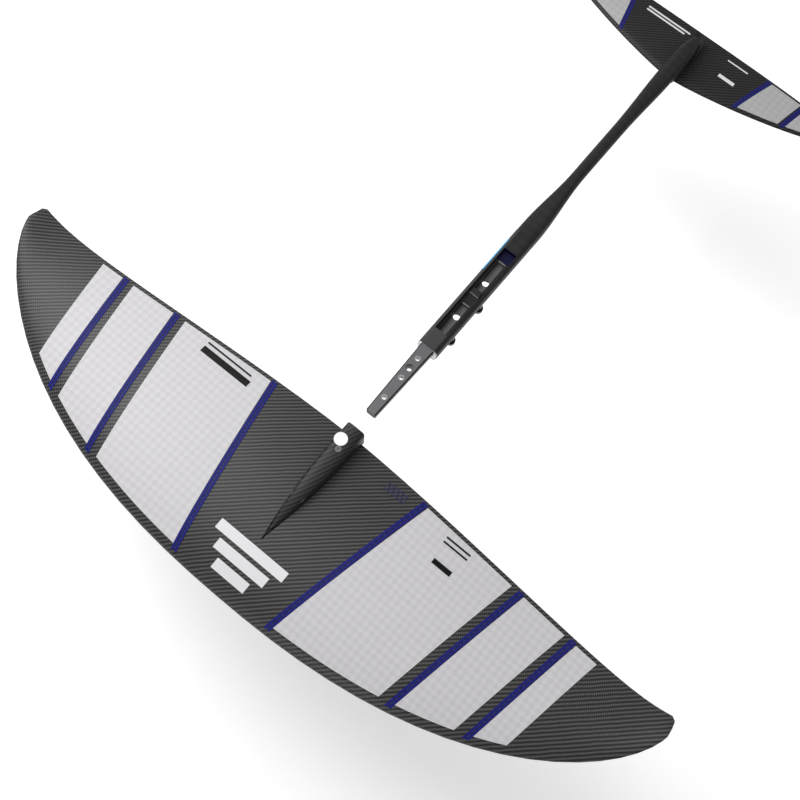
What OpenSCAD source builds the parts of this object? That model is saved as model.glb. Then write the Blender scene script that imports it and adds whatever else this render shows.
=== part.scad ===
// Hydrofoil set drawn apart: front wing, fuselage with its spigot, tail wing and screws.
// Origin: midway between the two mast screw holes, on the floor of the mast slots.
// +X starboard, +Y forward, +Z up. Lengths in mm.

/* [Front wing] */
// Half of the front wing's span.
wing_half = 448.8; // [400:0.1:500]
// Centre of the trailing edge ahead of the origin, wing drawn forward.
wing_y = 208.4; // [200:0.1:220]
// Height of the trailing edge at the root.
wing_z = -11.1; // [-20:0.1:0]
// Height of the leading edge above the trailing edge.
wing_pitch = 4.6; // [0:0.1:8]
// How far the leading edge stands ahead of the tips.
wing_bow = 186.7; // [120:0.1:220]
// Where the tips lie ahead of the trailing edge reference.
wing_tip_y = 37.6; // [10:0.1:60]
// Thickness over chord.
wing_thick = 0.1; // [0.06:0.01:0.16]
// Camber over chord.
wing_camber = 0.02; // [0:0.005:0.05]
// Droop of the outer wing below the root.
wing_droop = 20.9; // [0:0.1:30]
// Upward turn of the tips from the droop.
wing_rise = 31.9; // [0:0.1:40]
// Thickness of the moulded skins.
skin_t = 1.2; // [0.8:0.1:3]
// Travel of the wing from drawn forward to home on the spigot.
wing_travel = 121.8; // [100:0.1:140]

/* [Boss and socket] */
// Half width of the boss.
boss_w = 12.6; // [10:0.1:18]
// Top of the boss.
boss_top = 16.5; // [13:0.1:22]
// Underside of the boss.
boss_bottom = -11.2; // [-14:0.1:-8]
// End face of the boss, from the trailing edge reference.
boss_end = -4.5; // [-12:0.1:0]

/* [Fuselage] */
// Half width of the fuselage at the mast seat.
fuse_w = 13; // [10:0.1:18]
// Top of the fuselage at the seat.
fuse_top = 13.3; // [10:0.1:20]
// Underside of the fuselage at the seat.
fuse_bottom = -12.2; // [-20:0.1:-8]
// Front face of the fuselage.
fuse_front = 81.7; // [70:0.1:95]
// Rear end of the block that holds the mast seat.
block_rear = -100; // [-140:1:-90]
// Rear end of the boom.
boom_rear = -453; // [-480:1:-400]
// Distance between the two mast screw holes.
mast_pitch = 54; // [40:0.5:70]
// Radius of the mast screw clearance holes.
mast_hole_r = 4.25; // [3:0.05:5]

/* [Spigot] */
// Length of the spigot ahead of the fuselage.
spigot_len = 98.4; // [80:0.1:120]
// Half width at the base.
spigot_w0 = 8.8; // [6:0.1:12]
// Half width at the tip.
spigot_w1 = 6.4; // [4:0.1:9]
// Height of the spigot.
spigot_h = 11; // [8:0.1:15]
// Top of the spigot.
spigot_top = 12.4; // [8:0.1:16]

/* [Tail wing] */
// Half of the tail wing's span.
tail_half = 231; // [180:1:260]
// Leading edge at the root.
tail_nose = -400; // [-420:0.5:-380]
// Trailing edge at the root.
tail_te = -483; // [-500:0.5:-460]
// Height of the chord plane.
tail_z = -13; // [-20:0.5:-8]
// Thickness over chord.
tail_thick = 0.1; // [0.06:0.01:0.14]

/* [Screws] */
// Mast screw length under the head.
mast_screw_len = 35; // [25:1:60]
// Drop of the mast screws below home.
mast_drop = 70; // [60:1:100]
// Wing screw length under the head.
wing_screw_len = 19.5; // [12:0.5:30]
// Radius of the wing screws' shanks.
wing_screw_r = 2.5; // [2:0.5:3]
// Drop of the wing screws below home.
wing_drop = 50; // [40:1:80]

/* [Hidden] */
$fn = 48;
gap = 0.12;
black = [0.07, 0.07, 0.08];
carbon = [0.22, 0.22, 0.23];
white = [0.85, 0.85, 0.86];
blue = [0.18, 0.19, 0.49];
grey = [0.45, 0.45, 0.46];
steel = [0.15, 0.15, 0.16];
hole_a = 156.9; hole_b = 127.5; hole_c = 113.0; hole_d = 98.6;
screw_ys = [hole_a + wing_travel, hole_b + wing_travel];
insert_y = hole_c + wing_travel;
tail_screw_ys = [-412, -438];

// ---------- shared curves ----------
function clamp(t) = max(0, min(1, t));
function ease(t) = (1 - cos(180*clamp(t)))/2;
function naca(c) = 5*(0.2969*sqrt(c) - 0.1260*c - 0.3516*pow(c, 2) + 0.2843*pow(c, 3)
  - 0.1036*pow(c, 4));
// chord fractions bunched at the nose and the tail
function fracs(n, a, b) = [for (j = [0:n]) a + (b - a)*(1 - cos(180*j/n))/2];
// spanwise stations bunched at the tips
function stations(n, h) = [for (i = [-n:n]) h*sin(90*i/n)];

function wing_le(x) = wing_tip_y + wing_bow
  * pow(max(0, 1 - pow(abs(x)/wing_half, 2.314)), 0.634);
function wing_te(x) = let (u = abs(x)/wing_half, w = pow(u, 260),
  raw = 0.4 + 16.74*(1 - cos(180*pow(abs(x)/727.4, 0.804))) - 8.5*pow(u, 16))
  raw*(1 - w) + (wing_tip_y - 6)*w;
function wing_chord(x) = wing_le(x) - wing_te(x);
function wing_mid(x, c) = wing_z + wing_pitch*(1 - c) - wing_droop*pow(x/wing_half, 2)
  + wing_rise*pow(x/wing_half, 6) + 4*wing_camber*wing_chord(x)*c*(1 - c);
function wing_hk(x, c) = 0.25 + wing_thick*wing_chord(x)*naca(c);
function wing_pt(x, c, s, inset) = [x, wing_y + wing_le(x) - c*wing_chord(x),
  wing_mid(x, c) + s*max(0.05, wing_hk(x, c) - inset)];
// height of the upper surface over a point of the plan
function wing_top_at(x, y) = let (c = clamp((wing_le(x) - (y - wing_y))/wing_chord(x)))
  wing_mid(x, c) + wing_hk(x, c);

function tail_le(x) = tail_te + 9 + (tail_nose - tail_te - 9)
  * pow(max(0, 1 - pow(abs(x)/tail_half, 1.25)), 0.66);
function tail_tr(x) = let (u = abs(x)/tail_half) tail_te + 7*pow(u, 3) + 2*pow(u, 60);
function tail_chord(x) = tail_le(x) - tail_tr(x);
function tail_hk(x, c) = 0.25 + tail_thick*tail_chord(x)*naca(c);
function tail_pt(x, c, s, inset) = [x, tail_le(x) - c*tail_chord(x),
  tail_z + s*max(0.05, tail_hk(x, c) - inset)];
function tail_top_at(x, y) = let (c = clamp((tail_le(x) - y)/tail_chord(x)))
  tail_z + tail_hk(x, c);

// closed solid between two grids, rows along +X and columns toward -Y
module slab(U, L) {
  na = len(U); nb = len(U[0]); o = na*nb;
  pts = concat([for (r = U) each r], [for (r = L) each r]);
  faces = concat(
    [for (i = [0:na-2], j = [0:nb-2]) let (a = i*nb+j, b = a+nb) each
      [[a, b, b+1], [a, b+1, a+1], [o+a, o+b+1, o+b], [o+a, o+a+1, o+b+1]]],
    [for (i = [0:na-2]) let (a = i*nb, b = a+nb) each [[b, a, o+a], [b, o+a, o+b]]],
    [for (i = [0:na-2]) let (a = i*nb+nb-1, b = a+nb) each [[a, b, o+b], [a, o+b, o+a]]],
    [for (j = [0:nb-2]) each [[j, j+1, o+j+1], [j, o+j+1, o+j]]],
    [for (j = [0:nb-2]) let (a = (na-1)*nb+j) each [[a+1, a, o+a], [a+1, o+a, o+a+1]]]);
  polyhedron(points = pts, faces = faces, convexity = 6);
}

// closed solid through rings that run toward +Y
module loft(rings) {
  n = len(rings[0]); m = len(rings);
  polyhedron(points = [for (r = rings) each r], faces = concat(
    [[for (k = [n-1:-1:0]) k]],
    [for (i = [0:m-2], k = [0:n-1]) let (a = i*n + k, b = i*n + (k+1)%n) each
      [[a, b, b+n], [a, b+n, a+n]]],
    [[for (k = [0:n-1]) (m-1)*n + k]]), convexity = 4);
}

// flat film laid on a wing: corners are x at trailing and leading edge, inner and outer
function film(n, m, xti, xto, xli, xlo, bt, bl, lift, kind) =
  [for (i = [0:n]) [for (j = [0:m]) let (t = i/n, s = 1 - j/m,
    x = (xti + (xto - xti)*t)*(1 - s) + (xli + (xlo - xli)*t)*s,
    y0 = (kind == 0 ? wing_y + wing_te(x) : tail_tr(x)) + bt,
    y1 = (kind == 0 ? wing_y + wing_le(x) : tail_le(x)) - bl,
    y = y0 + (y1 - y0)*s)
    [x, y, (kind == 0 ? wing_top_at(x, y) : tail_top_at(x, y)) + lift]]];
module decal(n, m, q, bt, bl, kind, t0, t1)
  slab(film(n, m, q[0], q[1], q[2], q[3], bt, bl, t1, kind),
    film(n, m, q[0], q[1], q[2], q[3], bt, bl, t0, kind));
module both() { children(); mirror([1, 0, 0]) children(); }

// ---------- front wing ----------
wing_x = stations(19, wing_half*0.9992);
wing_c = fracs(14, 0, 1);
core_x = [for (x = wing_x) if (abs(x) < wing_half*0.9) x];
core_c = fracs(9, 0.08, 0.74);
// bond line between a core and its skins
core_gap = 0.5;
// boss: boxy round the socket, then a fin that sinks into the wing toward its nose
boss_len = 151; boss_n = 12;
boss_ts = [-7, 12, 32, 50, 66, 80, 94, 106, 118, 129, 139, 146, boss_len];
function boss_half(t) = max(0.6, boss_w*(1 - pow(clamp((t - 30)/(boss_len - 30)), 1.9)));
function boss_ridge(t) = let (e = ease((t - 80)/(boss_len - 80)))
  boss_top*(1 - e) + (wing_top_at(0, wing_y + t) + 0.3)*e;
function boss_power(t) = 4.5 - 2.5*ease((t - 94)/(boss_len - 94));
function boss_ring(t) = let (w = boss_half(t), e = 2/boss_power(t)) concat(
  [[w, wing_y + t, boss_bottom]],
  [for (k = [0:boss_n]) let (a = 180*k/boss_n) [w*sign(cos(a))*pow(abs(cos(a)), e), wing_y + t,
    (boss_ridge(t) + 1)*pow(sin(a), e) - 1]],
  [[-w, wing_y + t, boss_bottom]]);
// plan of the boss, grown by e
module boss_plan(e = 0) {
  y0 = wing_y + boss_end - e; w = boss_w + e; r = 3;
  polygon(concat(
    [for (a = [180:15:270]) [-w + r + r*cos(a), y0 + r + r*sin(a)]],
    [for (a = [270:15:360]) [w - r + r*cos(a), y0 + r + r*sin(a)]],
    [for (k = [1:boss_n]) [boss_half(boss_ts[k]) + e, wing_y + boss_ts[k] + (k == boss_n ? e : 0)]],
    [for (k = [boss_n:-1:1]) [-boss_half(boss_ts[k]) - e, wing_y + boss_ts[k] + (k == boss_n ? e : 0)]]));
}
// socket: the spigot's plan at home, grown by e, seen in the wing
module socket_plan(e) {
  y0 = wing_y + boss_end; y1 = fuse_front + spigot_len + wing_travel + 0.6 + e;
  polygon([[-spigot_w0 - e, y0 - 1], [spigot_w0 + e, y0 - 1], [spigot_w1 + e, y1],
    [-spigot_w1 - e, y1]]);
}
module socket_void(e) translate([0, 0, spigot_top - spigot_h - e])
  linear_extrude(spigot_h + 2*e) socket_plan(e);
module wing_screw_holes(r, z0, z1)
  for (y = screw_ys) translate([0, y, z0]) cylinder(r = r, h = z1 - z0);

module wing_skin_top() color(carbon) difference() {
  slab([for (x = wing_x) [for (c = wing_c) wing_pt(x, c, 1, 0)]],
    [for (x = wing_x) [for (c = wing_c) wing_pt(x, c, 1, skin_t)]]);
  translate([0, 0, boss_bottom - 0.15]) linear_extrude(40) boss_plan(gap);
}
module wing_skin_bottom() color(carbon) difference() {
  slab([for (x = wing_x) [for (c = wing_c) wing_pt(x, c, -1, skin_t)]],
    [for (x = wing_x) [for (c = wing_c) wing_pt(x, c, -1, 0)]]);
  wing_screw_holes(counterbore_r, -40, 0);
  translate([0, 0, boss_bottom - 0.15]) linear_extrude(40) boss_plan(gap);
}
module wing_core() color([0.75, 0.68, 0.5]) difference() {
  slab([for (x = core_x) [for (c = core_c) wing_pt(x, c, 1, skin_t + core_gap)]],
    [for (x = core_x) [for (c = core_c) wing_pt(x, c, -1, skin_t + core_gap)]]);
  translate([0, 0, boss_bottom - 0.15]) linear_extrude(40) boss_plan(gap);
  wing_screw_holes(6.2, -40, 0);
}
cap_r = 7.6; cap_x = 4.8; cap_y = wing_y + 16.2;
insert_r = 3.7; screw_clear_r = wing_screw_r + 0.3; counterbore_r = 6;
module wing_boss() color(black) difference() {
  intersection() {
    loft([for (t = boss_ts) boss_ring(t)]);
    translate([0, 0, boss_bottom - 1]) linear_extrude(60) boss_plan();
  }
  socket_void(1.3);
  wing_screw_holes(screw_clear_r, -40, 4);
  wing_screw_holes(counterbore_r, -40, -8.5);
  translate([0, insert_y, spigot_top]) cylinder(r = insert_r + 0.4, h = 20);
  translate([cap_x, cap_y, boss_top - 1]) cylinder(r = cap_r + 0.1, h = 4);
}
module socket_sleeve() color(grey) difference() {
  intersection() {
    socket_void(1.2);
    translate([-20, wing_y + boss_end + 0.4, -20]) cube([40, 200, 60]);
  }
  socket_void(0.35);
  wing_screw_holes(screw_clear_r, -40, 4);
  translate([0, insert_y, 8]) cylinder(r = 2.8, h = 20);
}
module boss_insert() color(grey) translate([0, insert_y, spigot_top + 1.35])
  difference() {
    cylinder(r = insert_r, h = boss_top - 0.3 - spigot_top - 1.35);
    translate([0, 0, 1.4]) cylinder(r = 1.5, h = 10, $fn = 6);
  }
module boss_cap() color(white) translate([cap_x, cap_y, boss_top - 0.9])
  cylinder(r = cap_r, h = 1.2);

// x at the trailing edge inner, outer, then at the leading edge inner, outer
wing_q = [[112.4, 233.8, 69.2, 196.5], [251, 308.6, 214.7, 276.6],
  [324.4, 352.6, 295.9, 327.6]];
film_t = 0.25; film_lift = 0.25;
panel_rear = 5; panel_front = 10.6;
stripe_w = 3.2; stripe_gap = 0.9; stripe_rear = 2.6; stripe_front = 5.5; stripe_lift = film_lift + 0.15;
module wing_panels() color(white) both() for (k = [0:2])
  decal(k == 0 ? 12 : 6, 14, wing_q[k], panel_rear, panel_front, 0, film_lift, film_lift + film_t);
module wing_stripes() color(blue) both() for (k = [0:2], s = [0, 1])
  let (a = wing_q[k][0] - s*(stripe_w + stripe_gap) - 0.7,
    b = wing_q[k][2] - s*(stripe_w + stripe_gap) - 1.2)
  decal(1, 16, [a - stripe_w, a, b - stripe_w, b], stripe_rear, stripe_front, 0,
    stripe_lift, stripe_lift + film_t);
// small film laid square on a wing, from x0, y0 to x1, y1
function patch(x0, x1, y0, y1, kind, lift) = [for (i = [0:6]) [for (j = [0:3])
  let (x = x0 + (x1 - x0)*i/6, y = y1 + (y0 - y1)*j/3)
  [x, y, (kind == 0 ? wing_top_at(x, y) : tail_top_at(x, y)) + lift]]];
module mark(x0, x1, y0, y1, kind = 0, lift = film_lift)
  slab(patch(x0, x1, y0, y1, kind, lift + film_t), patch(x0, x1, y0, y1, kind, lift));
// plain bars ahead of the boss
module wing_emblem() color(white) for (k = [0:2])
  mark(-46 + 12*k, 46 - 12*k, wing_y + 160 + 17*k, wing_y + 172 + 17*k);
// plain dark bars on the inner panels
module wing_marks() color(black)
  for (q = [[128, 196, 25, 33], [132, 196, 18.5, 20.5], [-180, -148, 20, 22], [-180, -148, 26, 28],
    [-176, -152, 48, 54]]) mark(q[0], q[1], wing_y + q[2], wing_y + q[3], 0, film_lift + 2*film_t);
// faint blue bars beside the boss
module wing_badge() color(blue) for (k = [0:2])
  mark(-90, -62, wing_y + 14 + 4*k, wing_y + 15.6 + 4*k);
module wing_screws() color(steel) translate([0, 0, -wing_drop]) for (y = screw_ys)
  translate([0, y, -8.7]) difference() {
    union() {
      cylinder(r = wing_screw_r, h = wing_screw_len);
      translate([0, 0, -3.3]) cylinder(r = 4.8, h = 3.3);
    }
    translate([0, 0, -4]) cylinder(r = 2, h = 2.7, $fn = 6);
  }

// ---------- fuselage ----------
module fuse_section(e = 0, rt = 6, rb = 8) {
  w = fuse_w + e; t = fuse_top + e; b = fuse_bottom - e; a = rt + e; c = rb + e;
  polygon(concat(
    [for (q = [0:15:90]) [w - a + a*cos(q), t - a + a*sin(q)]],
    [for (q = [90:15:180]) [-w + a + a*cos(q), t - a + a*sin(q)]],
    [for (q = [180:15:270]) [-w + c + c*cos(q), b + c + c*sin(q)]],
    [for (q = [270:15:360]) [w - c + c*cos(q), b + c + c*sin(q)]]));
}
module fuse_bar(y0, y1, e = 0)
  translate([0, y1, 0]) rotate([90, 0, 0]) linear_extrude(y1 - y0) fuse_section(e);
seat_front = 57; seat_rear = -71; seat_w = 8.5; seat_floor = 7;
slot_w = 4.8; slot_rear = 10.2; plate_t = 3;
module box(x, y0, y1, z0, z1) translate([-x, y0, z0]) cube([2*x, y1 - y0, z1 - z0]);
module fuselage_block() color(black) difference() {
  fuse_bar(block_rear, fuse_front - 1.5);
  difference() {
    box(seat_w, seat_rear, seat_front, seat_floor, 20);
    box(6.2, -11, -3.6, 0, seat_floor + 2.4);
  }
  box(slot_w, slot_rear, seat_front, -plate_t - 0.1, 20);
  box(slot_w, -57, -11, -plate_t - 0.1, 20);
  for (s = [-1, 1]) translate([0, s*mast_pitch/2, -20]) cylinder(r = 7.5, h = 18);
  translate([0, 0, spigot_top - spigot_h - gap]) linear_extrude(spigot_h + 2*gap)
    polygon([[-spigot_w0 - gap, 59], [spigot_w0 + gap, 59], [spigot_w0 + gap, 90],
      [-spigot_w0 - gap, 90]]);
  for (y = pin_ys) translate([0, y, -20]) cylinder(r = 2.6, h = 20 + spigot_top);
}
pin_ys = [66, 75];
module nose_plate() color([0.75, 0.75, 0.77]) difference() {
  fuse_bar(fuse_front - 1.4, fuse_front, -0.3);
  box(spigot_w0 + gap, 70, 90, spigot_top - spigot_h - gap, 20);
}
tip_cut = 1; spigot_insert_r = 3.3;
module spigot() color(grey) difference() {
  translate([0, 0, spigot_top - spigot_h]) linear_extrude(spigot_h)
    polygon([[-spigot_w0, 59.5], [spigot_w0, 59.5], [spigot_w0, fuse_front],
      [spigot_w1, fuse_front + spigot_len - tip_cut],
      [spigot_w1 - tip_cut, fuse_front + spigot_len],
      [-spigot_w1 + tip_cut, fuse_front + spigot_len],
      [-spigot_w1, fuse_front + spigot_len - tip_cut],
      [-spigot_w0, fuse_front]]);
  // bevels along the exposed edges
  for (s = [-1, 1]) translate([s*spigot_w0, fuse_front + 0.1, 0])
    rotate([0, 0, s*atan((spigot_w0 - spigot_w1)/spigot_len)])
      for (z = [spigot_top, spigot_top - spigot_h]) translate([0, 0, z])
        rotate([0, 45, 0]) translate([-1.1, 0, -1.1]) cube([2.2, 120, 2.2]);
  for (y = [hole_a, hole_b, hole_d]) translate([0, y, -5])
    cylinder(r = spigot_insert_r + 0.1, h = 30);
  translate([0, hole_c, -5]) cylinder(r = 3.2, h = 30);
  translate([0, hole_c, spigot_top - 2]) cylinder(r = 4.4, h = 5);
  for (y = pin_ys) translate([0, y, -20]) cylinder(r = 2.6, h = 40);
}
module spigot_pins() color(grey) for (y = pin_ys) translate([0, y, fuse_bottom + 1.5])
  cylinder(r = 2.5, h = spigot_top - fuse_bottom - 2);
module spigot_inserts() color([0.8, 0.78, 0.78]) for (y = [hole_a, hole_b, hole_d])
  translate([0, y, spigot_top - spigot_h + 0.2]) difference() {
    cylinder(r = spigot_insert_r, h = spigot_h - 0.4);
    translate([0, 0, -1]) cylinder(r = wing_screw_r + 0.15, h = 20);
  }
module seat_plates() color(grey) for (q = [[slot_rear + 0.1, seat_front - 0.1], [-56.9, -11.1]])
  difference() {
    union() {
      box(slot_w - 0.1, q[0], q[1], -plate_t, 0);
      box(slot_w - 0.1, q[0], q[0] + 1, -plate_t, seat_floor - 0.4);
    }
    for (s = [-1, 1]) translate([0, s*mast_pitch/2, -10]) cylinder(r = mast_hole_r, h = 20);
  }
module side_stripe() color([0.05, 0.35, 0.8]) intersection() {
  difference() { fuse_bar(-84, -34, 0.4); fuse_bar(-90, -30, 0.1); }
  translate([11, -90, 4]) cube([10, 70, 12]);
}
module mast_screws() color(steel) translate([0, 0, -mast_drop])
  for (s = [-1, 1]) translate([0, s*mast_pitch/2, -plate_t - 0.15]) difference() {
    union() {
      cylinder(r = 3.95, h = mast_screw_len);
      translate([0, 0, -5]) cylinder(r = 6, h = 5);
    }
    translate([0, 0, -6]) cylinder(r = 2.9, h = 3.8, $fn = 6);
  }
// boom: superellipse rings, waisted, then swelling over the tail wing
function boom_w(y) = fuse_w - 5.6*ease((-112 - y)/95) + 3.4*ease((-285 - y)/105)
  - 5.8*pow(clamp((-420 - y)/33), 2);
function boom_h(y) = (fuse_top - fuse_bottom)/2 - 3.6*ease((-112 - y)/95)
  + 0.9*ease((-285 - y)/105) - 5*pow(clamp((-420 - y)/33), 2);
function boom_cz(y) = (fuse_top + fuse_bottom)/2 + 7*ease((-112 - y)/120);
function boom_n(y) = 4.4 - 2.1*ease((block_rear - y)/110);
boom_ys = concat([for (k = [0:13]) block_rear - 0.1 - k*8], [for (k = [1:12]) -204 - k*16],
  [-404, -412, -420, -428, -436, -443, -449, boom_rear]);
ring_n = 24;
function ring(y) = [for (k = [0:ring_n-1]) let (a = 360*k/ring_n, e = 2/boom_n(y))
  [boom_w(y)*sign(cos(a))*pow(abs(cos(a)), e), y,
   boom_cz(y) + boom_h(y)*sign(sin(a))*pow(abs(sin(a)), e)]];
module fuselage_boom() color(black) difference() {
  loft([for (k = [len(boom_ys)-1:-1:0]) ring(boom_ys[k])]);
  for (y = tail_screw_ys) translate([0, y, -10]) cylinder(r = 4.1, h = 18);
}
module tail_inserts() color([0.7, 0.6, 0.35]) for (y = tail_screw_ys)
  translate([0, y, boom_under(0, y) + 1]) difference() {
    cylinder(r = 4, h = 7.8 - boom_under(0, y) - 1);
    translate([0, 0, -1]) cylinder(r = 3.1, h = 8.3 - boom_under(0, y) - 1);
  }

// ---------- tail wing ----------
tail_x = stations(15, tail_half*0.998);
tail_c = fracs(10, 0, 1);
tcore_x = [for (x = tail_x) if (abs(x) < tail_half*0.82) x];
module tail_screw_holes(r, z0, z1)
  for (y = tail_screw_ys) translate([0, y, z0]) cylinder(r = r, h = z1 - z0);
module tail_skin_top() color(black) difference() {
  slab([for (x = tail_x) [for (c = tail_c) tail_pt(x, c, 1, 0)]],
    [for (x = tail_x) [for (c = tail_c) tail_pt(x, c, 1, 1)]]);
  tail_screw_holes(3.4, -30, 0);
}
module tail_skin_bottom() color(black) difference() {
  slab([for (x = tail_x) [for (c = tail_c) tail_pt(x, c, -1, 1)]],
    [for (x = tail_x) [for (c = tail_c) tail_pt(x, c, -1, 0)]]);
  tail_screw_holes(6, -30, 0);
}
module tail_core() color([0.75, 0.68, 0.5]) difference() {
  slab([for (x = tcore_x) [for (c = fracs(7, 0.12, 0.7)) tail_pt(x, c, 1, 1.3)]],
    [for (x = tcore_x) [for (c = fracs(7, 0.12, 0.7)) tail_pt(x, c, -1, 1.3)]]);
  tail_screw_holes(3.6, -30, 0);
  tail_screw_holes(6.2, -30, tail_z - 0.5);
}
tail_q = [[106, 150.2, 90.6, 142.2], [159, 184, 151.5, 179]];
module tail_panels() color([0.67, 0.67, 0.68]) both() for (k = [0:1])
  decal(5, 8, tail_q[k], 3.5, 4.8, 1, 0.2, 0.45);
module tail_stripes() color(blue) both() for (k = [0:1], s = [0, 1])
  decal(1, 8, [tail_q[k][0] - 2.9 - 3.5*s, tail_q[k][0] - 0.6 - 3.5*s,
    tail_q[k][2] - 3.1 - 3.5*s, tail_q[k][2] - 0.8 - 3.5*s], 1.8, 2.6, 1, 0.2, 0.45);
// plain light bars on the tail wing
module tail_marks() color(white)
  for (q = [[14, 78, -471.5, -469], [20, 78, -466.5, -464], [-70, -47, -446, -441],
    [-74, -44, -471.5, -469.5]]) mark(q[0], q[1], q[2], q[3], 1);
// saddle between the boom and the tail wing
pad_ys = [for (k = [0:12]) -397 - 6*k];
function pad_w(y) = 11.5*sqrt(max(0.02, 1 - pow(abs((y + 430)/44), 2.6)));
function boom_under(x, y) = let (u = min(0.93, abs(x)/boom_w(y)))
  boom_cz(y) - boom_h(y)*pow(1 - pow(u, boom_n(y)), 1/boom_n(y));
function pad_row(t, top) = [for (y = pad_ys) let (x = t*pad_w(y),
  low = (y > tail_nose - 0.5 ? tail_z : tail_top_at(x, min(y, tail_le(x) - 0.5))) + gap)
  [x, y, top ? max(low + 0.6, boom_under(x, y) - 0.6) : low]];
module tail_pad() color(black) difference() {
  slab([for (i = [-5:5]) pad_row(sin(18*i), true)], [for (i = [-5:5]) pad_row(sin(18*i), false)]);
  tail_screw_holes(3.5, -30, 5);
}
module tail_screws() color(steel) for (y = tail_screw_ys) translate([0, y, tail_z - 0.7])
  difference() {
    union() {
      cylinder(r = 3, h = 18);
      translate([0, 0, -3]) cylinder(r = 5.2, h = 3);
    }
    translate([0, 0, -4]) cylinder(r = 2, h = 2.7, $fn = 6);
  }

fuselage_block();
fuselage_boom();
nose_plate();
spigot();
spigot_pins();
spigot_inserts();
seat_plates();
side_stripe();
mast_screws();
tail_inserts();
tail_pad();
tail_skin_top();
tail_skin_bottom();
tail_core();
tail_panels();
tail_stripes();
tail_marks();
tail_screws();
wing_skin_top();
wing_skin_bottom();
wing_core();
wing_boss();
socket_sleeve();
boss_insert();
boss_cap();
wing_panels();
wing_stripes();
wing_emblem();
wing_marks();
wing_badge();
wing_screws();
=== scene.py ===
"""Looks for the drawn-apart hydrofoil set: materials, smooth copies, floor, lights and camera."""
import math

import bmesh
import bpy
from mathutils import Matrix, Vector


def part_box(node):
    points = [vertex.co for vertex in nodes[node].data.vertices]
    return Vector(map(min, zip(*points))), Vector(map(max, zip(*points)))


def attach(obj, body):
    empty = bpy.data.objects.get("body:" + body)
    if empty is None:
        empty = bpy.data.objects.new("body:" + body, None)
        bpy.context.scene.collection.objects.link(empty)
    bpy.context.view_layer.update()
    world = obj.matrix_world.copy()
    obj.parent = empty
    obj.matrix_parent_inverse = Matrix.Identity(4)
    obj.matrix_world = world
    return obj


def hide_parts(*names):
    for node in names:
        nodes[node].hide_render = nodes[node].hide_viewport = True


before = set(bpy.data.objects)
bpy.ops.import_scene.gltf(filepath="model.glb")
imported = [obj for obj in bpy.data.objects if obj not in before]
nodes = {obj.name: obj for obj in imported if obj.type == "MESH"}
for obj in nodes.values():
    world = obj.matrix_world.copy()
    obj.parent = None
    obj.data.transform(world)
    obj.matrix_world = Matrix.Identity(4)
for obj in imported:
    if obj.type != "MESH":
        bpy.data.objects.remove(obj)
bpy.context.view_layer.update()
scene = bpy.context.scene

# Lengths are metres in the CAD frame: X starboard, Y forward, Z up. Noise scales are per metre.
X, Y, Z = range(3)

# ---------------------------------------------------------------- node helpers


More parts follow.
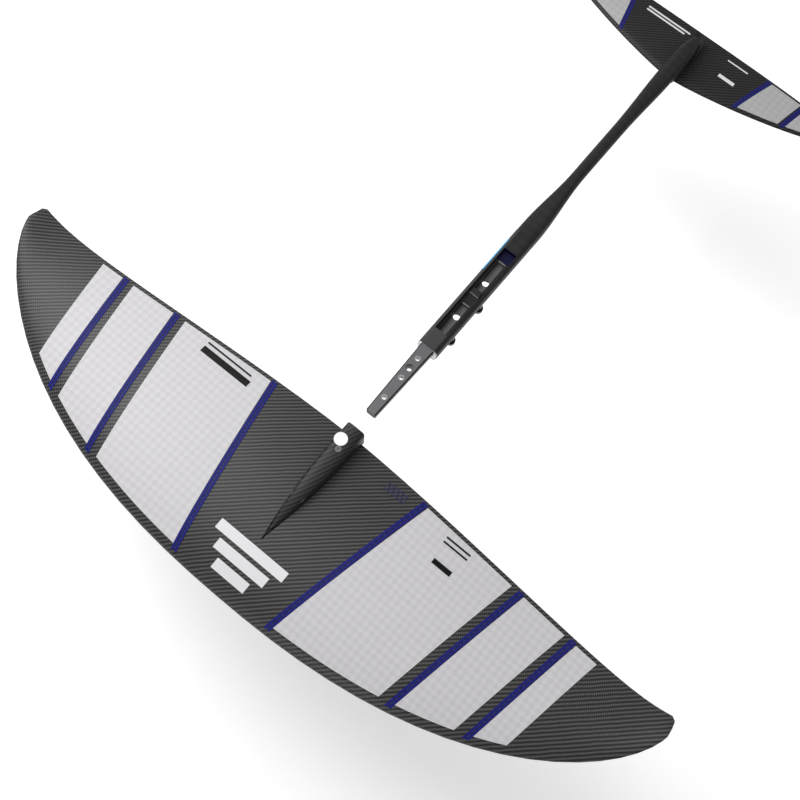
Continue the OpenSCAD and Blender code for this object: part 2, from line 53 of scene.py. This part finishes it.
class Mat:
    """One node material, built with short calls. Places are read from the CAD frame."""

    SOCKETS = {"colour": "Base Color", "rough": "Roughness", "metallic": "Metallic", "normal": "Normal",
               "coat": "Coat Weight", "coat_rough": "Coat Roughness", "specular": "Specular IOR Level"}

    def __init__(self, name):
        self.material = bpy.data.materials.new(name)
        self.material.use_nodes = True
        self.tree = self.material.node_tree
        self.tree.nodes.clear()
        self.shader = self.add("ShaderNodeBsdfPrincipled")
        self.link(self.shader.outputs[0], self.add("ShaderNodeOutputMaterial").inputs[0])
        self.place = self.add("ShaderNodeTexCoord").outputs["Object"]
        self.axes = self.split(self.place)

    def add(self, kind):
        return self.tree.nodes.new(kind)

    def link(self, output, socket):
        self.tree.links.new(output, socket)

    def put(self, socket, value):
        """Link an output to the socket, or set the socket to a colour or a number."""
        if hasattr(value, "is_output"):
            self.link(value, socket)
        elif isinstance(value, tuple):
            socket.default_value = (*value, 1)
        else:
            socket.default_value = value

    def split(self, vector):
        node = self.add("ShaderNodeSeparateXYZ")
        self.link(vector, node.inputs[0])
        return node.outputs

    def math(self, operation, *values):
        node = self.add("ShaderNodeMath")
        node.operation = operation
        for socket, value in zip(node.inputs, values):
            self.put(socket, value)
        return node.outputs[0]

    def weigh(self, weights):
        """The place's X, Y and Z times their weights, added up"""
        total = 0.0
        for axis, weight in zip(self.axes, weights):
            if weight:
                total = self.math("MULTIPLY_ADD", axis, weight, total)
        return total

    def vary(self, value, pattern, by):
        """value + by * (pattern - 0.5)"""
        return self.math("MULTIPLY_ADD", self.math("SUBTRACT", pattern, 0.5), by, value)

    def wave(self, turns):
        """A sine that repeats with every whole turn"""
        return self.math("SINE", self.math("MULTIPLY", turns, 2 * math.pi))

    def facing(self, axis, level=0.8):
        """1 where the surface's normal leans along +axis by more than the level, else 0"""
        normal = self.split(self.add("ShaderNodeNewGeometry").outputs["Normal"])
        return self.math("GREATER_THAN", normal[axis], level)

    def inside(self, half_width, y_span, z_span):
        """1 inside a box about the centre plane, else 0"""
        mask = self.math("LESS_THAN", self.math("ABSOLUTE", self.axes[X]), half_width)
        for axis, (low, high) in ((Y, y_span), (Z, z_span)):
            mask = self.math("MULTIPLY", mask, self.math("GREATER_THAN", self.axes[axis], low))
            mask = self.math("MULTIPLY", mask, self.math("LESS_THAN", self.axes[axis], high))
        return mask

    def noise(self, scale, detail, rough=0.5, place=None):
        node = self.add("ShaderNodeTexNoise")
        self.link(place or self.place, node.inputs["Vector"])
        node.inputs["Scale"].default_value = scale
        node.inputs["Detail"].default_value = detail
        node.inputs["Roughness"].default_value = rough
        return node.outputs["Fac"]

    def stretch(self, scales, turn=0.0):
        """The place turned about Z and scaled axis by axis"""
        node = self.add("ShaderNodeMapping")
        self.link(self.place, node.inputs["Vector"])
        node.inputs["Rotation"].default_value = (0, 0, turn)
        node.inputs["Scale"].default_value = scales
        return node.outputs[0]

    def ramp(self, tone, *stops):
        """A colour that runs through (position, colour) stops"""
        node = self.add("ShaderNodeValToRGB")
        self.put(node.inputs[0], tone)
        elements = node.color_ramp.elements
        while len(elements) < len(stops):
            elements.new(1.0)
        for element, (position, colour) in zip(elements, stops):
            element.position = position
            element.color = (*colour, 1)
        return node.outputs[0]

    def mix(self, mask, below, above):
        """The colour below where the mask is 0, above where it is 1"""
        node = self.add("ShaderNodeMix")
        node.data_type = "RGBA"
        factor, a, b = node.inputs[0], node.inputs[6], node.inputs[7]
        for socket, value in ((factor, mask), (a, below), (b, above)):
            self.put(socket, value)
        return node.outputs[2]

    def bump(self, height, distance, strength):
        node = self.add("ShaderNodeBump")
        node.inputs["Strength"].default_value = strength
        node.inputs["Distance"].default_value = distance
        self.put(node.inputs["Height"], height)
        return node.outputs[0]

    def finish(self, **values):
        """Put the values on the shader and return the material."""
        for name, value in values.items():
            self.put(self.shader.inputs[self.SOCKETS[name]], value)
        return self.material


def srgb(*screen):
    """A screen colour, 0 to 255, as linear light"""
    def linear(c):
        return c / 12.92 if c <= 0.04045 else ((c + 0.055) / 1.055) ** 2.4
    return tuple(linear(c / 255) for c in screen)


def shade(colour, factor):
    return tuple(min(1, c * factor) for c in colour)


# ---------------------------------------------------------------- carbon, film, metal, foam
HATCH_PITCH = 0.0023      # cross hatching between a twill's ribs
ROW_SHIFT = 0.37          # of a hatch, from one row to the next
RIB_WAVER = 0.35          # of a row
RIB_SHARPNESS = 2.2
TWILL_ROUGH = 0.5


def twill(name, pitch, low, high, turn, coat, coat_rough=0.36, specular=0.2, lean=0.0):
    """Carbon twill under resin: bright ribs, with darker tows and fine cross hatching between them.

    The ribs repeat at the pitch along the direction turn, an angle in plan; lean adds height to it.
    """
    m = Mat(name)
    cos, sin = math.cos(turn), math.sin(turn)
    rows = m.weigh((cos / pitch, sin / pitch, lean / pitch))
    rows = m.vary(rows, m.noise(scale=55, detail=2), by=RIB_WAVER)
    hatch = m.weigh((-sin / HATCH_PITCH, cos / HATCH_PITCH, 0))
    rib = m.math("SINE", m.math("MULTIPLY", m.math("FRACT", rows), math.pi))
    crest = m.math("POWER", rib, RIB_SHARPNESS)
    # the tows that cross under the ribs, shifted from row to row
    cross = m.wave(m.math("MULTIPLY_ADD", m.math("FLOOR", rows), ROW_SHIFT, hatch))
    under = m.math("MULTIPLY", m.math("SUBTRACT", 1.0, crest), cross)
    # the light breaks along each rib, where the tows dive under
    lit = m.math("MULTIPLY", crest, m.math("MULTIPLY_ADD", m.wave(hatch), 0.32, 0.68))
    hair = m.noise(scale=1, detail=3, rough=0.6, place=m.stretch((260, 2400, 260), turn))
    cloud = m.noise(scale=9, detail=3, rough=0.55)
    tone = m.math("MULTIPLY_ADD", under, 0.15, m.math("MULTIPLY_ADD", lit, 0.80, 0.14))
    tone = m.vary(m.vary(tone, hair, by=0.30), cloud, by=0.12)
    middle = tuple(0.6 * a + 0.4 * b for a, b in zip(low, high))
    return m.finish(colour=m.ramp(tone, (0.0, low), (0.5, middle), (1.0, high)),
                    rough=m.vary(TWILL_ROUGH, hair, by=0.2),
                    normal=m.bump(m.math("MULTIPLY_ADD", under, 0.25, crest), distance=0.0001, strength=0.3),
                    coat=coat, coat_rough=coat_rough, specular=specular)


CHECK_CELL = 0.0058       # side of one soft check on the film
CHECK_EDGE = 3.0          # how steeply one check turns into the next


def film(name, base, check=0.0, rough=0.3, coat=0.4, specular=0.5):
    """Printed film with a fine orange peel, and soft checks as strong as check says."""
    m = Mat(name)
    k = math.pi / CHECK_CELL * math.sqrt(0.5)
    waves = m.math("MULTIPLY", m.math("SINE", m.weigh((k, k, 0))), m.math("SINE", m.weigh((-k, k, 0))))
    checks = m.math("MINIMUM", m.math("MAXIMUM", m.math("MULTIPLY", waves, CHECK_EDGE), -1.0), 1.0)
    mottle = m.noise(scale=240, detail=3, rough=0.6)
    cloud = m.noise(scale=9, detail=2)
    peel = m.noise(scale=520, detail=2)
    tone = m.vary(m.vary(m.math("MULTIPLY_ADD", checks, check, 0.5), mottle, by=0.12), cloud, by=0.10)
    return m.finish(colour=m.ramp(tone, (0.25, shade(base, 0.90)), (0.75, shade(base, 1.06))),
                    rough=m.vary(rough, mottle, by=0.12), normal=m.bump(peel, distance=0.00004, strength=0.3),
                    coat=coat, coat_rough=0.12, specular=specular)


MARKS_ALONG, MARKS_ACROSS = 60, 1800


def metal(name, base, rough, along, metallic, lit_lip=None, shaded_flank=None):
    """Machined or anodised metal: tool marks along one axis and wear from handling.

    shaded_flank is painted shade: the bevels and sides, all but the faces that look up, take this darker
    colour. lit_lip is (colour, height), a painted highlight: front faces above the height get the colour.
    """
    m = Mat(name)
    scales = [MARKS_ALONG if axis == along else MARKS_ACROSS for axis in (X, Y, Z)]
    marks = m.noise(scale=1, detail=2, place=m.stretch(scales))
    wear = m.noise(scale=160, detail=4, rough=0.65)
    tone = m.vary(m.vary(0.5, marks, by=0.5), wear, by=0.25)
    colour = m.ramp(tone, (0.2, shade(base, 0.80)), (0.8, shade(base, 1.15)))
    # painted shade: every face but the upward ones takes the darker flank colour
    if shaded_flank:
        colour = m.mix(m.facing(Z, 0.9), shaded_flank, colour)
    # painted highlight: forward faces above the lip height take the lip colour
    if lit_lip:
        lip_highlight, lip_height = lit_lip
        above = m.math("GREATER_THAN", m.axes[Z], lip_height)
        colour = m.mix(m.math("MULTIPLY", m.facing(Y), above), colour, lip_highlight)
    return m.finish(colour=colour, rough=m.vary(rough, wear, by=0.2), metallic=metallic,
                    normal=m.bump(marks, distance=0.00003, strength=0.3))


SATIN_BASE = (0.022, 0.022, 0.023)
SATIN_WEAVE = 260         # radians per metre
SATIN_ROUGH = 0.52


def satin(m):
    """Colour of satin black moulded carbon, with a faint weave in it, and the dust noise on it"""
    k = SATIN_WEAVE
    weave = m.math("MULTIPLY", m.math("SINE", m.weigh((k, k, k))), m.math("SINE", m.weigh((-k, k, -k))))
    dust = m.noise(scale=900, detail=3, rough=0.7)
    cloud = m.noise(scale=14, detail=3)
    tone = m.vary(m.vary(m.math("MULTIPLY_ADD", weave, 0.10, 0.4), dust, by=0.3), cloud, by=0.5)
    return m.ramp(tone, (0.1, shade(SATIN_BASE, 0.6)), (0.9, shade(SATIN_BASE, 1.9))), dust


def finish_satin(m, colour, dust):
    return m.finish(colour=colour, rough=m.vary(SATIN_ROUGH, dust, by=0.2),
                    normal=m.bump(dust, distance=0.00002, strength=0.4), specular=0.12)


def satin_boom(name):
    m = Mat(name)
    return finish_satin(m, *satin(m))


# the fuselage block: its box, its slot plates' box, and the seat and rib as part.scad has them
block_front, block_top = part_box("fuselage_block")[1][Y:]
(_, plates_rear, _), (_, plates_front, plates_top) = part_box("seat_plates")
SEAT_HALF, SEAT_REAR, SEAT_FLOOR = 0.0085, -0.071, 0.007
RIB_HALF, RIB_FRONT, RIB_TOP = 0.0062, -0.0036, 0.0094
SLACK = 0.0001            # a zone reaches this far past the faces that it colours
LACQUER_GAP = 0.0005      # between the lacquer and the slot plates
LACQUER_RIM = 0.0007      # between the lacquer and the tops of the walls
RIB_FOOT = 0.0002         # the rib face's painted highlight starts this far above the seat floor, leaving a dark line at its foot
ROOT_REFLECTION_DEPTH = 0.0005  # how far down the edges the flat's painted reflection runs

# zones coloured apart, the lacquer, a painted highlight and a painted reflection: half width, span along Y,
# span along Z
SEAT_REAR_END = (SEAT_HALF + SLACK, (SEAT_REAR - SLACK, plates_rear - LACQUER_GAP),
                 (SEAT_FLOOR - SLACK, block_top - LACQUER_RIM))
SEAT_RIB_HIGHLIGHT = (RIB_HALF + SLACK, (RIB_FRONT - SLACK, RIB_FRONT + SLACK),
                  (SEAT_FLOOR + RIB_FOOT, RIB_TOP + SLACK))
SPIGOT_ROOT_REFLECTION = (SEAT_HALF, (plates_front - SLACK, block_front + SLACK),
                    (block_top - ROOT_REFLECTION_DEPTH, block_top + SLACK))


def satin_seat(name):
    """The block with the mast seat: satin black, with its lacquered faces, and a painted highlight,
    reflection and sheen on some faces.
    """
    m = Mat(name)
    colour, dust = satin(m)
    # blue lacquer in the rear end of the seat
    colour = m.mix(m.inside(*SEAT_REAR_END), colour, srgb(14, 16, 52))
    # painted highlight: the front face of the seat's cross rib, where it faces forward, near white
    rib = m.math("MULTIPLY", m.inside(*SEAT_RIB_HIGHLIGHT), m.facing(Y))
    colour = m.mix(rib, colour, srgb(240, 240, 242))
    # painted reflection: a lighter grey on the flat over the spigot's root
    colour = m.mix(m.inside(*SPIGOT_ROOT_REFLECTION), colour, srgb(66, 66, 67))
    # painted sheen: a lighter grey on the top of the starboard wall, along the whole block
    starboard_sheen = m.math("MULTIPLY", m.math("GREATER_THAN", m.axes[X], SEAT_HALF + SLACK), m.facing(Z, 0.5))
    colour = m.mix(starboard_sheen, colour, srgb(64, 64, 65))
    return finish_satin(m, colour, dust)


def foam(name):
    """Pale closed-cell foam."""
    m = Mat(name)
    cells = m.add("ShaderNodeTexVoronoi")
    m.link(m.place, cells.inputs["Vector"])
    cells.inputs["Scale"].default_value = 900
    depth = cells.outputs["Distance"]
    return m.finish(colour=m.ramp(depth, (0.0, srgb(205, 190, 150)), (0.6, srgb(160, 142, 100))),
                    rough=0.85, normal=m.bump(depth, distance=0.0002, strength=0.6))


# ---------------------------------------------------------------- which node wears what
GREY = srgb(96, 96, 98)
LIP_HIGHLIGHT_DEPTH = 0.0014        # painted highlight on the slot plates' upstands: how far it runs down from the top
WING_TWILL = twill("wing_twill", pitch=0.0041, low=srgb(4, 4, 5), high=srgb(108, 107, 107),
                   turn=math.radians(-47), coat=0.42, coat_rough=0.34, specular=0.05)
TAIL_TWILL = twill("tail_twill", pitch=0.0038, low=srgb(4, 4, 5), high=srgb(64, 64, 66),
                   turn=math.radians(-53), coat=0.1)
# the boss wears the wing's carbon made darker: painted shade
BOSS_TWILL_SHADED = twill("boss_twill_shaded", pitch=0.0044, low=srgb(3, 3, 4), high=srgb(66, 65, 65),
                   turn=math.radians(-25), coat=0.15, lean=0.7)
FINISHES = (
    (WING_TWILL, ("wing_skin_top", "wing_skin_bottom")),
    (TAIL_TWILL, ("tail_skin_top", "tail_skin_bottom", "tail_pad")),
    (BOSS_TWILL_SHADED, ("wing_boss",)),
    (film("panel_white", srgb(208, 206, 209), check=0.14, rough=0.5, coat=0.0, specular=0.3),
     ("wing_panels",)),
    (film("panel_grey", srgb(176, 176, 177), check=0.14, rough=0.5, coat=0.0, specular=0.3),
     ("tail_panels",)),
    (film("stripe_blue", srgb(30, 33, 116), rough=0.5, coat=0.0, specular=0.15),
     ("wing_stripes", "tail_stripes")),
    (film("badge_blue", srgb(34, 36, 78), rough=0.45, coat=0.0), ("wing_badge",)),
    (film("mark_white", srgb(228, 228, 230), coat=0.0), ("wing_emblem", "tail_marks")),
    (film("mark_black", srgb(16, 16, 18), coat=0.0, specular=0.2), ("wing_marks",)),
    (film("cap_white", srgb(252, 252, 253)), ("boss_cap",)),
    (film("streak_blue", srgb(50, 156, 212)), ("side_stripe",)),
    (satin_boom("fuselage_black"), ("fuselage_boom",)),
    (satin_seat("fuselage_seat"), ("fuselage_block",)),
    # the slot plates' upstands get a painted highlight on their front faces
    (metal("slot_plate", srgb(108, 108, 110), rough=0.6, along=Y, metallic=0.0,
           lit_lip=(srgb(248, 248, 249), plates_top - LIP_HIGHLIGHT_DEPTH)), ("seat_plates",)),
    (metal("anodised_grey", GREY, rough=0.42, along=Y, metallic=0.6), ("socket_sleeve", "boss_insert")),
    # the spigot's sides and bevels get painted shade
    (metal("spigot_grey", GREY, rough=0.42, along=Y, metallic=0.6, shaded_flank=srgb(34, 34, 35)), ("spigot",)),
    (metal("bare_alu", srgb(205, 205, 208), rough=0.35, along=X, metallic=0.7),
     ("nose_plate", "spigot_pins")),
    (metal("insert_alu", srgb(172, 172, 174), rough=0.45, along=X, metallic=0.6), ("spigot_inserts",)),
    (metal("black_steel", srgb(52, 52, 56), rough=0.30, along=Z, metallic=0.9),
     ("mast_screws", "wing_screws", "tail_screws")),
    (metal("brass_insert", srgb(190, 160, 90), rough=0.35, along=Z, metallic=1.0), ("tail_inserts",)),
    (foam("core_foam"), ("wing_core", "tail_core")),
)
LOOK = {name: material for material, names in FINISHES for name in names}
for name, material in LOOK.items():
    nodes[name].data.materials.clear()
    nodes[name].data.materials.append(material)

# ---------------------------------------------------------------- smooth copies of the faceted nodes
SHARP_ANGLE = math.radians(40)
JOIN_DISTANCE = 2e-6


def smooth_copy(name, body):
    """Show the node's own shape with its facets joined, so that light runs over it without bands."""
    source = nodes[name]
    joined = bmesh.new()
    joined.from_mesh(source.data)
    bmesh.ops.remove_doubles(joined, verts=joined.verts, dist=JOIN_DISTANCE)
    bmesh.ops.dissolve_degenerate(joined, edges=joined.edges, dist=JOIN_DISTANCE / 20)
    mesh = bpy.data.meshes.new(name + "_smooth")
    joined.to_mesh(mesh)
    joined.free()
    if "custom_normal" in mesh.attributes:
        mesh.attributes.remove(mesh.attributes["custom_normal"])
    mesh.shade_smooth()
    mesh.set_sharp_from_angle(angle=SHARP_ANGLE)
    mesh.materials.append(LOOK[name])
    piece = bpy.data.objects.new(name + "_smooth", mesh)
    scene.collection.objects.link(piece)
    piece.matrix_world = source.matrix_world.copy()
    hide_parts(name)
    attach(piece, body)


for name in ("wing_skin_top", "wing_skin_bottom", "wing_boss", "wing_panels", "wing_stripes",
             "wing_emblem", "wing_marks", "wing_badge"):
    smooth_copy(name, "front_wing")
for name in ("tail_skin_top", "tail_skin_bottom", "tail_panels", "tail_stripes", "tail_marks",
             "tail_pad", "fuselage_boom"):
    smooth_copy(name, "fuselage")

# ---------------------------------------------------------------- floor
FLOOR_Z = -0.32           # low enough for the shadow to go soft
FLOOR_HALF = 6.0
FLOOR_GLOW = 0.34         # keeps the floor near white under the soft light
corners = [(x * FLOOR_HALF, y * FLOOR_HALF, FLOOR_Z) for x, y in ((-1, -1), (1, -1), (1, 1), (-1, 1))]
floor_mesh = bpy.data.meshes.new("studio_floor")
floor_mesh.from_pydata(corners, [], [(0, 1, 2, 3)])
floor = bpy.data.objects.new("studio_floor", floor_mesh)
scene.collection.objects.link(floor)
paint = Mat("studio_floor")
paint.shader.inputs["Emission Color"].default_value = (1, 1, 1, 1)
paint.shader.inputs["Emission Strength"].default_value = FLOOR_GLOW
grain = paint.ramp(paint.noise(scale=3, detail=2), (0.0, (0.90, 0.90, 0.90)), (1.0, (0.94, 0.94, 0.94)))
floor.data.materials.append(paint.finish(colour=grain, rough=0.9, specular=0.1))

# ---------------------------------------------------------------- lights
WORLD_STRENGTH = 0.38
world = bpy.data.worlds.new("studio")
scene.world = world
world.use_nodes = True
background = world.node_tree.nodes["Background"]
background.inputs["Color"].default_value = (1, 1, 1, 1)
background.inputs["Strength"].default_value = WORLD_STRENGTH


def softbox(name, at, target, size, watts):
    """A rectangular area light that faces its target"""
    light = bpy.data.lights.new(name, "AREA")
    light.shape = "RECTANGLE"
    light.size, light.size_y = size
    light.energy = watts
    lamp = bpy.data.objects.new(name, light)
    scene.collection.objects.link(lamp)
    lamp.location = at
    lamp.rotation_euler = (Vector(target) - Vector(at)).to_track_quat("-Z", "Y").to_euler()


softbox("key", at=(1.5, -0.1, 1.6), target=(0.25, 0.1, 0), size=(1.3, 1.6), watts=33)
softbox("fill", at=(0.75, -0.1, 2.5), target=(0.2, 0.1, 0), size=(0.9, 1.7), watts=11)
softbox("front", at=(-0.3, 2.5, 1.2), target=(0, 0.1, 0), size=(1.2, 0.8), watts=7)

# ---------------------------------------------------------------- camera, solved against the photograph
# the lens and the sensor are in millimetres
CAMERA_AT = Vector((-0.2034, 0.4704, 1.1664))
CAMERA_LOOK = Vector((0.155, -0.2654, -0.9516)).normalized()
CAMERA_UP = Vector((0.6141, -0.7286, 0.3033))
camera_data = bpy.data.cameras.new("camera")
camera_data.lens = 50
camera_data.sensor_width = 36
camera_data.clip_start = 0.01
camera = bpy.data.objects.new("camera", camera_data)
scene.collection.objects.link(camera)
scene.camera = camera
right = CAMERA_LOOK.cross(CAMERA_UP).normalized()
turned = Matrix((right, right.cross(CAMERA_LOOK), -CAMERA_LOOK)).transposed()
camera.matrix_world = Matrix.Translation(CAMERA_AT) @ turned.to_4x4()

scene.view_settings.view_transform = "Standard"
scene.view_settings.look = "None"
